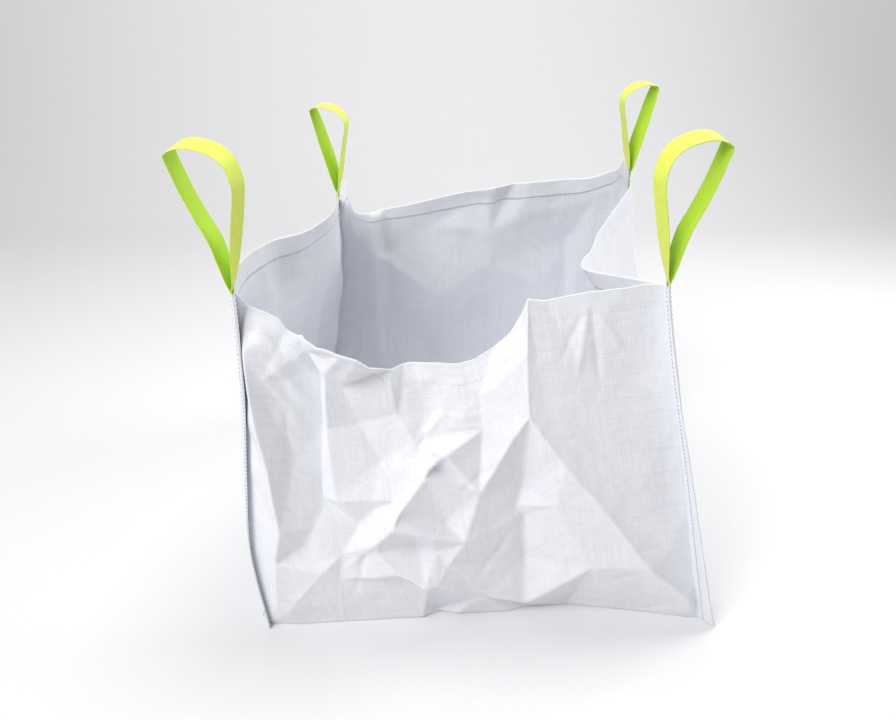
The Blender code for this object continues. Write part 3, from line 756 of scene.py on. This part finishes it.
def webbing_cloth(name, outer, inner):
    """Ribbed polyester webbing: twill ribs across a lengthwise grain. Its outer face is painted paler than
    its inner face, a painted highlight over the webbing's own deeper green.
    """
    made, nodes, links, shader = new_material(name, outer, 0.6)
    uv = node(nodes, "ShaderNodeUVMap", uv_map="UVMap").outputs["UV"]
    twill = node(nodes, "ShaderNodeTexWave", wave_type="BANDS", bands_direction="DIAGONAL")
    twill.inputs["Scale"].default_value = 130
    twill.inputs["Distortion"].default_value = 0.8
    links.new(uv, twill.inputs["Vector"])
    fibre = node(nodes, "ShaderNodeTexNoise", Scale=1.0, Detail=4.0, Roughness=0.6)
    links.new(scaled(nodes, links, uv, (700, 60, 1)), fibre.inputs["Vector"])
    # Painted light: the loop's outer face gets a paler, washed-out green as a painted highlight, and its
    # inner face the webbing's own deeper green.
    faces = node(nodes, "ShaderNodeAttribute", attribute_name="lit_face")
    lit_and_shaded_tone = mixed(nodes, links, faces.outputs["Fac"], inner, outer)
    shade = node(nodes, "ShaderNodeMapRange")
    shade.inputs["To Min"].default_value = 0.72
    shade.inputs["To Max"].default_value = 1.12
    links.new(fibre.outputs["Fac"], shade.inputs["Value"])
    tint = node(nodes, "ShaderNodeVectorMath", operation="SCALE")
    links.new(lit_and_shaded_tone.outputs["Color"], tint.inputs[0])
    links.new(shade.outputs["Result"], tint.inputs["Scale"])
    links.new(tint.outputs["Vector"], shader.inputs["Base Color"])
    rough = node(nodes, "ShaderNodeMapRange")
    rough.inputs["To Min"].default_value = 0.50
    rough.inputs["To Max"].default_value = 0.72
    links.new(fibre.outputs["Fac"], rough.inputs["Value"])
    links.new(rough.outputs["Result"], shader.inputs["Roughness"])
    first = node(nodes, "ShaderNodeBump", Strength=0.6, Distance=0.0008)
    links.new(twill.outputs["Fac"], first.inputs["Height"])
    second = node(nodes, "ShaderNodeBump", Strength=0.4, Distance=0.0004)
    links.new(fibre.outputs["Fac"], second.inputs["Height"])
    links.new(first.outputs["Normal"], second.inputs["Normal"])
    links.new(second.outputs["Normal"], shader.inputs["Normal"])
    shader.inputs["Sheen Weight"].default_value = 0.15
    return made


def thread(name, colour, low):
    """Spun sewing thread, speckled along its fibres."""
    made, nodes, links, shader = new_material(name, colour, 0.7)
    place = node(nodes, "ShaderNodeTexCoord").outputs["Object"]
    fibre = node(nodes, "ShaderNodeTexNoise", Scale=900.0, Detail=3.0, Roughness=0.6)
    links.new(place, fibre.inputs["Vector"])
    tint = mixed(nodes, links, fibre.outputs["Fac"], low, colour)
    links.new(tint.outputs["Color"], shader.inputs["Base Color"])
    bump = node(nodes, "ShaderNodeBump", Strength=0.5, Distance=0.0003)
    links.new(fibre.outputs["Fac"], bump.inputs["Height"])
    links.new(bump.outputs["Normal"], shader.inputs["Normal"])
    return made


BODY_CLOTH = woven_cloth("body_cloth", (0.83, 0.84, 0.88), (0.74, 0.75, 0.80))
SIDE_CLOTH = woven_cloth("side_cloth", (0.81, 0.82, 0.87), (0.72, 0.73, 0.79))
WEBBING = webbing_cloth("lifting_webbing", (0.78, 0.90, 0.10), (0.50, 0.78, 0.02))
SEAM_THREAD = thread("seam_thread", (0.28, 0.36, 0.50), (0.14, 0.19, 0.30))
HEM_THREAD = thread("hem_thread", (0.86, 0.86, 0.88), (0.66, 0.67, 0.70))


# ---------------------------------------------------------------- stitches

def stitches(name, lines, material, pitch, share, radius):
    """Rows of stitches along lines of (points, normals): each rises out of the cloth and dips back in."""
    verts, faces = [], []
    dice = random.Random(name)
    for points, normals in lines:
        add_stitches(verts, faces, dice, points, normals, pitch, share, radius)
    mesh = bpy.data.meshes.new(name)
    mesh.from_pydata([tuple(v) for v in verts], [], faces)
    return placed(name, mesh, material)


def add_stitches(verts, faces, dice, points, normals, pitch, share, radius):
    """Add one row's stitches to the lists of vertices and faces."""
    lengths = np.concatenate([[0], np.cumsum(np.linalg.norm(np.diff(points, axis=0), axis=1))])
    for i in range(max(int(lengths[-1] / pitch), 1)):
        middle = (i + 0.5) * pitch + dice.uniform(-0.08, 0.08) * pitch
        half = pitch * share / 2
        spots = [np.array([np.interp(middle + 2 * half * a, lengths, points[:, k]) for k in range(3)])
                 for a, _, _ in STITCH_RINGS]
        normal = unit(np.array([np.interp(middle, lengths, normals[:, k]) for k in range(3)]))
        along = unit(spots[-1] - spots[0])
        aside = unit(np.cross(normal, along))
        start = len(verts)
        for spot, (_, size, lift) in zip(spots, STITCH_RINGS):
            centre = spot + normal * radius * lift
            for s in range(STITCH_SIDES):
                turn = 2 * math.pi * s / STITCH_SIDES
                verts.append(centre + (aside * math.cos(turn) + normal * math.sin(turn)) * radius * size)
        rings = len(STITCH_RINGS)
        for r in range(rings - 1):
            for s in range(STITCH_SIDES):
                a = start + r * STITCH_SIDES + s
                b = start + r * STITCH_SIDES + (s + 1) % STITCH_SIDES
                faces.append((a, b, b + STITCH_SIDES, a + STITCH_SIDES))
        faces.append(tuple(start + s for s in range(STITCH_SIDES))[::-1])
        faces.append(tuple(start + (rings - 1) * STITCH_SIDES + s for s in range(STITCH_SIDES)))


def hem_stitch_line(rows):
    """Points of a wall along its hem stitches, and the wall's normals there."""
    below, _ = along_hem(rows)
    normals = grid_normals(rows)
    points, facing = [], []
    for j in range(3, rows.shape[1] - 3):
        at = [np.interp(HEM_STITCH, below[::-1, j], rows[::-1, j, k]) for k in range(3)]
        i = int(np.argmin(abs(below[:, j] - HEM_STITCH)))
        points.append(at)
        facing.append(normals[i, j])
    return np.array(points), np.array(facing)


# ---------------------------------------------------------------- lifting loops

def tail_middle(side, end, up):
    """The middle of the gap between the two flange layers, at the corner line."""
    point = curve(CORNERS[side, end], np.array([float(up)]))[0]
    point[2] += CAD_CLOTH / 2
    return point + flange_normal(side, end, up) * layer_gap(up) / 2


def corner_frame(side, end):
    """(hinge point, width axis, outward axis, upward axis) of a free loop."""
    base = tail_middle(side, end, 1) + flange_direction(side, end, 1) * (FLANGE_INSET + TAIL_WIDTH / 2)
    base[2] += TAIL_RISE
    up = np.array([0.0, 0.0, 1.0])
    width = unit(np.array(LOOP_WIDTH_AXIS) * (1, -side_sign(side), 1))
    return base, width, np.cross(up, width), up


def strap(side, end):
    """A lifting loop: one strap with both ends pressed together in the seam, narrow where it leaves it."""
    base, width, outwards, up = corner_frame(side, end)
    flange = flange_direction(side, end, 1)
    sign = 1 if width @ flange > 0 else -1

    def sewn_end(offset):
        """(point, width axis, width) up one sewn end, from inside the seam to the crotch."""
        made = []
        for level in (TAIL_BOTTOM, 0.87, 0.94, 0.99):
            along = flange_direction(side, end, level)
            start = tail_middle(side, end, level) + along * (FLANGE_INSET + TAIL_WIDTH / 2)
            made.append((start + flange_normal(side, end, level) * offset, along * sign, TAIL_WIDTH))
        for rise, share in ((-0.004, 0.15), (0.004, 0.35)):
            across = unit(lerp(flange * sign, width, share))
            made.append((base + up * rise + outwards * offset, across, TAIL_WIDTH))
        return made

    spots = sewn_end(LAYER_OFFSET)
    for out, rise, tip, turn_in in LOOP_PATHS[end]:
        share = min(0.35 + rise / 0.09, 1)
        across = unit(lerp(flange * sign, width, share))
        tip, turn_in = (math.radians(angle) * -side_sign(side) for angle in (tip, turn_in))
        across = across * math.cos(turn_in) - outwards * math.sin(turn_in)
        across = across * math.cos(tip) + up * math.sin(tip)
        wide = lerp(TAIL_WIDTH, WEBBING_WIDTH, min(rise / 0.06, 1))
        spots.append((base + outwards * out + up * rise, across, wide))
    spots += sewn_end(-LAYER_OFFSET)[::-1]
    path = np.array([point for point, _, _ in spots])
    lengths = np.concatenate([[0], np.cumsum(np.linalg.norm(np.diff(path, axis=0), axis=1))])
    place = np.interp(np.linspace(0, 1, 300) * lengths[-1], lengths, levels(len(path) - 1))
    centre = curve(path, place)
    across = unit(curve(np.array([axis for _, axis, _ in spots]), place))
    half = np.interp(place, levels(len(path) - 1), [wide / 2 for _, _, wide in spots])
    along = unit(np.gradient(centre, axis=0))
    across = unit(across - along * np.sum(across * along, axis=1, keepdims=True))
    facing = np.cross(along, across)
    steps = np.linspace(-1, 1, RIBS + 1)
    ridge = RIB_HEIGHT * np.where(np.arange(RIBS + 1) % 2, 1, -1) * (abs(steps) < 0.96)
    rows = (centre[:, None] + across[:, None] * (half[:, None] * steps)[..., None]
            + facing[:, None] * ridge[None, :, None])
    obj = thicken(as_grid(f"lifting_loop_{end}_{side}", rows, WEBBING), WEBBING_THICK)
    apply_modifiers(obj)
    # Mark the second half of the loop's vertices, which the webbing material paints in the paler
    # painted-highlight green.
    half_way = len(obj.data.vertices) // 2
    lit_face = obj.data.attributes.new("lit_face", "FLOAT", "POINT")
    lit_face.data.foreach_set("value", [float(i >= half_way) for i in range(2 * half_way)])
    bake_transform(obj)
    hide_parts(f"loop_{end}_{side}", f"loop_tail_{end}_{side}")
    return obj


# ---------------------------------------------------------------- pieces on the bag

def floor_rows(front, back):
    """The floor, from the front wall's foot to the back wall's foot, with a seam margin at both sides."""
    place = levels(90)[1:-1]
    rows = front[0][None] + (back[0] - front[0])[None] * place[:, None, None]
    rows[..., 2] += FLOOR_UNEVEN * (1 + noise_at(rows, 0.12, 9)) * np.sin(math.pi * place)[:, None]
    shares = foot_share(rows[:, 0, 1] - front[0, 0, 1])[:, None, None]
    return np.concatenate([rows[:, :1] - SIDEWAYS * MARGIN_WIDTHS[::-1][None, :, None] * shares, rows,
                           rows[:, -1:] + SIDEWAYS * MARGIN_WIDTHS[None, :, None] * shares], axis=1)


def foot_share(behind):
    """How much of its width a bottom margin keeps, by its distance behind the front corner."""
    return np.clip(FOOT_START + behind / FOOT_GROWTH, 0, 1)


def body_panel(front, back, front_full, back_full):
    """One cloth: the front wall, the floor and the back wall, with a hem turned in at each end."""
    amounts = np.interp(front[-1, :, 0], [x for x, _ in HEM_ROLL], [amount for _, amount in HEM_ROLL])
    front_strip = hem_strip(front_full, BACKWARDS, np.pad(amounts, MARGIN_COLUMNS))
    back_strip = hem_strip(back_full, -BACKWARDS, np.zeros(back_full.shape[1]))
    floor = floor_rows(front, back)
    rows = np.concatenate([front_strip[::-1], front_full[::-1], floor, back_full, back_strip])
    made = thicken(as_grid("body_cloth_panel", rows, BODY_CLOTH), CLOTH_THICK)
    return ride_bag(made, "body_panel")


def side_panel(side, rows):
    """A side wall with its seam margins, its foot's margin and its turned hem."""
    outwards = SIDEWAYS * side_sign(side)
    full = with_flanges(rows, (side, "front"), (side, "back"), levels(rows.shape[0] - 1), -1)
    shares = foot_share(full[0, :, 1] - full[0, MARGIN_COLUMNS, 1])[:, None]
    foot = np.stack([full[0] + outwards * out * shares for out in MARGIN_WIDTHS[::-1]])
    strip = hem_strip(full, -outwards, np.zeros(full.shape[1]))
    made = as_grid(f"{side}_side_panel", np.concatenate([foot, full, strip]), SIDE_CLOTH)
    return ride_bag(thicken(made, CLOTH_THICK), f"{side}_panel")


def hem_stitching(wall, rows):
    """The stitches of a wall's hem, on both of its faces."""
    points, normals = hem_stitch_line(rows)
    outwards = normals * np.sign(normals @ np.array(WALL_FACING[wall], float))[:, None]
    inside = points - outwards * (CLOTH_THICK / 2 + HEM_LAYER)
    lines = [(points + outwards * CLOTH_THICK / 2, outwards), (inside, -outwards)]
    made = stitches(f"hem_stitch_row_{wall}", lines, HEM_THREAD, **HEM_SEWING)
    ride_bag(made, f"hem_stitches_{wall}")


def corner_stitching(side, end, full, up):
    """The stitches down a corner seam, on the outer faces of its two layers."""
    normal = -flange_normal(side, end, up)
    seam = full[:, MARGIN_COLUMNS - 4] if side == "left" else full[:, -(MARGIN_COLUMNS - 3)]
    line = seam + normal * CLOTH_THICK / 2
    gap = (layer_gap(up) + CLOTH_THICK)[:, None]
    lines = [(line[2:], normal[2:]), ((line - normal * gap)[2:], -normal[2:])]
    made = stitches(f"corner_stitch_row_{end}_{side}", lines, SEAM_THREAD, **SEAM_SEWING)
    ride_bag(made, f"corner_stitches_{end}_{side}")


def floor_stitching(side, rows):
    """The stitches along a side panel's foot."""
    line = rows[0, 4:-4] + SIDEWAYS * side_sign(side) * SEAM_OFFSET
    line[:, 2] += CLOTH_THICK / 2
    lines = [(line, np.tile((0.0, 0.0, 1.0), (len(line), 1)))]
    made = stitches(f"floor_stitch_row_{side}", lines, SEAM_THREAD, **SEAM_SEWING)
    ride_bag(made, f"floor_stitches_{side}")


# ---------------------------------------------------------------- build

walls = {"front": front_wall(), "back": back_wall(), "left": side_wall("left"), "right": side_wall("right")}
for rows in walls.values():
    rows[..., 2] += CAD_CLOTH / 2
front_up, back_up = (levels(walls[end].shape[0] - 1) for end in ("front", "back"))
# The back wall takes as many columns as the front wall, so that one floor joins them.
walls["back"] = np.stack([polyline(row, levels(walls["front"].shape[1] - 1)) for row in walls["back"]])
front_full = with_flanges(walls["front"], ("left", "front"), ("right", "front"), front_up, 1)
back_full = with_flanges(walls["back"], ("left", "back"), ("right", "back"), back_up, 1)

body = body_panel(walls["front"], walls["back"], front_full, back_full)
panels = {side: side_panel(side, walls[side]) for side in ("left", "right")}
for side in ("left", "right"):
    for end in ("front", "back"):
        strap(side, end)
for wall, rows in walls.items():
    hem_stitching(wall, rows)
for side in ("left", "right"):
    corner_stitching(side, "front", front_full, front_up)
    corner_stitching(side, "back", back_full, back_up)
    floor_stitching(side, walls[side])


# ---------------------------------------------------------------- floor, light and camera

def area_light(name, place, target, size, power):
    """A rectangular lamp that faces its target."""
    data = bpy.data.lights.new(name, "AREA")
    data.shape = "RECTANGLE"
    data.size, data.size_y = size
    data.energy = power
    obj = bpy.data.objects.new(name, data)
    bpy.context.scene.collection.objects.link(obj)
    obj.location = place
    obj.rotation_euler = (Vector(target) - Vector(place)).to_track_quat("-Z", "Y").to_euler()


# The studio floor curves up into a wall behind the bag.
BACKDROP_FOOT = 2.4
FLOOR_GAP = 0.0005
BACKDROP_RADIUS = 1.4
profile = [(-6.0, 0.0), (BACKDROP_FOOT, 0.0)]
profile += [(BACKDROP_FOOT + BACKDROP_RADIUS * math.sin(a), BACKDROP_RADIUS * (1 - math.cos(a)))
            for a in np.linspace(0, math.pi / 2, 17)[1:]]
profile += [(BACKDROP_FOOT + BACKDROP_RADIUS, 5.0)]
ground = bpy.data.meshes.new("studio_floor")
ground.from_pydata([(x, y, z) for y, z in profile for x in (-7, 7)], [],
                   [(2 * i, 2 * i + 1, 2 * i + 3, 2 * i + 2) for i in range(len(profile) - 1)])
ground.shade_smooth()
floor_obj = bpy.data.objects.new("studio_floor", ground)
bpy.context.scene.collection.objects.link(floor_obj)
floor_obj.location.z = -FLOOR_GAP
ground.materials.append(new_material("studio_floor", (0.80, 0.80, 0.81), 0.8)[0])

world = bpy.data.worlds.new("studio")
world.use_nodes = True
world.node_tree.nodes["Background"].inputs["Color"].default_value = (1.0, 1.0, 1.0, 1)
world.node_tree.nodes["Background"].inputs["Strength"].default_value = 0.32
bpy.context.scene.world = world
area_light("key", (-2.0, -2.3, 3.0), (0.0, -0.2, 0.3), (2.4, 2.0), 114)
area_light("fill", (2.4, 0.6, 2.0), (-0.2, 0.0, 0.5), (1.4, 1.4), 40)
area_light("top", (0.1, 0.1, 2.7), (0.0, 0.1, 0.2), (0.9, 0.9), 18)
area_light("backdrop", (0.0, 1.2, 3.6), (0.0, 3.6, 1.0), (5.0, 1.0), 45)

CAMERA_PLACE = (-0.058, -1.742, 1.234)
CAMERA_YAW, CAMERA_PITCH, CAMERA_ROLL = (math.radians(a) for a in (0.44, 25.56, -0.86))
forward = Vector((-math.sin(CAMERA_YAW) * math.cos(CAMERA_PITCH),
                  math.cos(CAMERA_YAW) * math.cos(CAMERA_PITCH), -math.sin(CAMERA_PITCH)))
right = Vector((math.cos(CAMERA_YAW), math.sin(CAMERA_YAW), 0))
upward = right.cross(forward)
rolled_right = right * math.cos(CAMERA_ROLL) + upward * math.sin(CAMERA_ROLL)
rolled_up = upward * math.cos(CAMERA_ROLL) - right * math.sin(CAMERA_ROLL)
lens = bpy.data.cameras.new("camera")
lens.lens = 32.05
lens.sensor_width = 36
lens.clip_end = 60
camera = bpy.data.objects.new("camera", lens)
bpy.context.scene.collection.objects.link(camera)
turned = Matrix((rolled_right, rolled_up, -forward)).transposed().to_4x4()
turned.translation = CAMERA_PLACE
camera.matrix_world = turned
bpy.context.scene.camera = camera
bpy.context.scene.view_settings.view_transform = "Standard"
